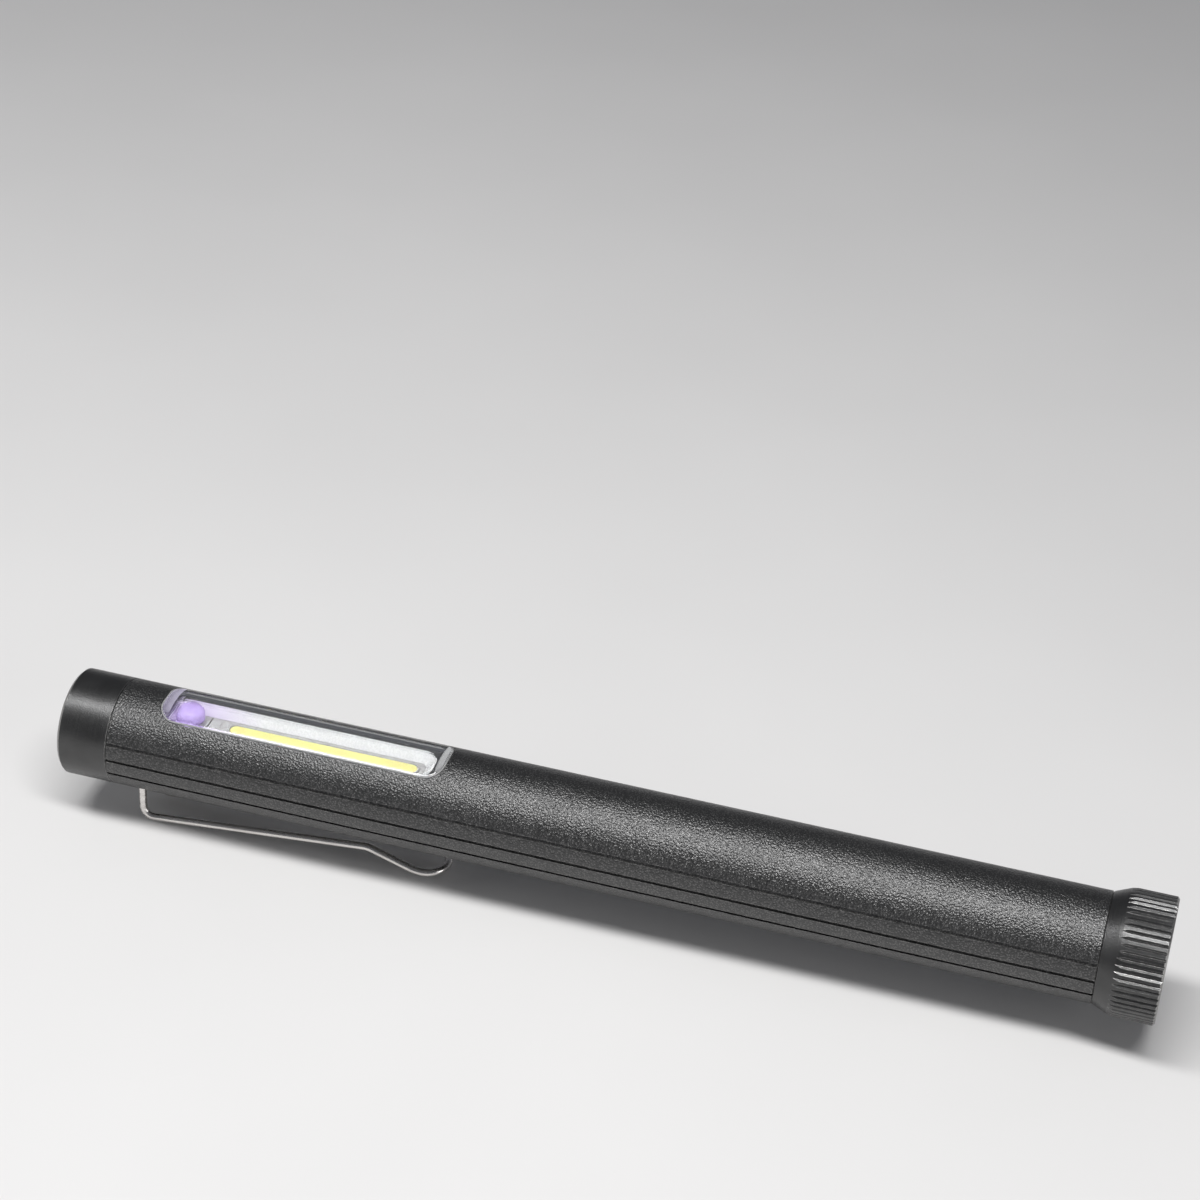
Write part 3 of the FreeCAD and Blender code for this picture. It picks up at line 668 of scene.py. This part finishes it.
def light_bead():
    """Domed bead of phosphor silicone with round ends, in place of its plain CAD block."""
    low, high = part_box("light_strip")
    half = (high.y - low.y) / 2
    tall = high.z - low.z
    rings = []
    for step in range(BEAD_STEPS):
        lean = math.radians(90 * step / BEAD_STEPS)
        inset = half * BEAD_SHOULDER * (1 - math.cos(lean))
        rings.append(stadium(low.x + inset, high.x - inset, half - inset, low.z + tall * math.sin(lean)))
    inset = half * (1 - BEAD_TOP)
    rings.append(stadium(low.x + inset, high.x - inset, half * BEAD_TOP, high.z))
    form = rings_to_form(rings, closed=True)
    piece = new_piece("phosphor_bead", form, FINISHES["phosphor_yellow"])
    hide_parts("light_strip")
    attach(piece, "pen_body")


def led_dome():
    """Smooth silicone dome with full shoulders and a skirt, in place of the plainer CAD one."""
    low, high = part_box("violet_led_dome")
    middle = (low + high) / 2
    radius = (high.x - low.x) / 2 * DOME_WIDER
    tall = (high.z - low.z) * DOME_TALLER
    profile = [(radius, low.z - DOME_SKIRT)]
    for step in range(DOME_STEPS):
        lean = math.radians(90 * step / DOME_STEPS)
        profile.append((radius * math.cos(lean) ** DOME_FULLNESS,
                        low.z + tall * math.sin(lean) ** DOME_FULLNESS))
    rings = []
    for out, height in profile:
        turns = [math.tau * k / DOME_SIDES for k in range(DOME_SIDES)]
        rings.append([Vector((middle.x + out * math.cos(turn), middle.y + out * math.sin(turn), height))
                      for turn in turns])
    piece = new_piece("led_dome", rings_to_form(rings, closed=True), FINISHES["led_dome"])
    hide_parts("violet_led_dome")
    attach(piece, "pen_body")


def joined_ring(rings):
    """Skins a stack of rings and joins the last to the first, as one hollow hoop."""
    form = rings_to_form(rings + [rings[0]], closed=False)
    bmesh.ops.remove_doubles(form, verts=form.verts, dist=MERGE_DISTANCE)
    return form


def bead_dam():
    """Raised lip round the bead, in the light board's finish."""
    low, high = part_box("light_strip")
    half = (high.y - low.y) / 2
    tall = (high.z - low.z) * DAM_HIGH
    section = ((0, 0), (0, 0.6), (0.25, 0.92), (0.5, 1.0), (0.75, 0.92), (1, 0.55), (1, 0))
    rings = []
    for across, up in section:
        out = DAM_GAP + DAM_WIDE * across
        rings.append(stadium(low.x - out, high.x + out, half + out, low.z + up * tall))
    form = joined_ring(rings)
    piece = new_piece("bead_dam", form, FINISHES["board_white"])
    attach(piece, "pen_body")


def cover_rim_highlight():
    """Thin grey bead in the groove between the clear cover and the tube: a painted highlight along the
    cover's edge.
    """
    low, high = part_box("lens")
    crown = high.z - frame_axis_height()
    path = rounded_box(low.x + RIM_HIGHLIGHT_INSIDE, high.x - RIM_HIGHLIGHT_INSIDE, high.y - RIM_HIGHLIGHT_INSIDE,
                       COVER_CORNER - RIM_HIGHLIGHT_INSIDE)
    rings = []
    for step in range(RIM_HIGHLIGHT_SIDES):
        turn = math.tau * step / RIM_HIGHLIGHT_SIDES
        ring = []
        for point, outward in path:
            place = point + outward * RIM_HIGHLIGHT_HALF * math.cos(turn)
            radius = crown - RIM_HIGHLIGHT_SINK + RIM_HIGHLIGHT_HALF * RIM_HIGHLIGHT_FLATNESS * math.sin(turn)
            rise = math.sqrt(radius ** 2 - place.y ** 2)
            ring.append(Vector((place.x, place.y, frame_axis_height() + rise)))
        rings.append(ring)
    form = joined_ring(rings)
    bmesh.ops.recalc_face_normals(form, faces=form.faces)
    # Grey of the painted highlight along the cover's edge
    rim_highlight_grey = moulded("cover_rim_highlight_grey", grey(0.26), rough=0.35, grain_mm=0.1, depth_mm=0.004)
    piece = new_piece("cover_rim_highlight", form, rim_highlight_grey)
    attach(piece, "pen_body")


def floor():
    """Pale ground under the pen."""
    form = bmesh.new()
    bmesh.ops.create_grid(form, x_segments=FLOOR_SQUARES, y_segments=FLOOR_SQUARES, size=FLOOR_HALF)
    mesh = bpy.data.meshes.new("floor")
    form.to_mesh(mesh)
    form.free()
    mesh.materials.append(floor_paint("pale_floor"))
    piece = bpy.data.objects.new("floor", mesh)
    bpy.context.scene.collection.objects.link(piece)


def soft_light(name, place, aim, size, power):
    """A white rectangular lamp that points at aim."""
    lamp = bpy.data.lights.new(name, "AREA")
    lamp.shape = "RECTANGLE"
    lamp.size, lamp.size_y = size
    lamp.energy = power
    piece = bpy.data.objects.new(name, lamp)
    piece.location = place
    piece.rotation_euler = (Vector(aim) - Vector(place)).to_track_quat("-Z", "Y").to_euler()
    bpy.context.scene.collection.objects.link(piece)


def studio():
    """Pale floor, a long overhead softbox in line with the pen, a weak one off each end, and a dim sky."""
    floor()
    soft_light("overhead_box", *OVERHEAD_BOX)
    soft_light("front_box", *FRONT_BOX)
    soft_light("tail_box", *TAIL_BOX)
    world = bpy.data.worlds.new("studio")
    world.use_nodes = True
    sky = world.node_tree.nodes["Background"]
    sky.inputs["Color"].default_value = SURROUND_TINT
    sky.inputs["Strength"].default_value = SURROUND_STRENGTH
    scene = bpy.context.scene
    scene.world = world
    scene.view_settings.view_transform = "Standard"


def camera():
    lens = bpy.data.cameras.new("camera")
    lens.lens = CAMERA_LENS
    lens.sensor_width = CAMERA_SENSOR
    piece = bpy.data.objects.new("camera", lens)
    piece.location = CAMERA_PLACE
    piece.rotation_euler = [math.radians(angle) for angle in CAMERA_TURN]
    bpy.context.scene.collection.objects.link(piece)
    bpy.context.scene.camera = piece


camera()
studio()
light_bead()
led_dome()
bead_dam()
cover_rim_highlight()
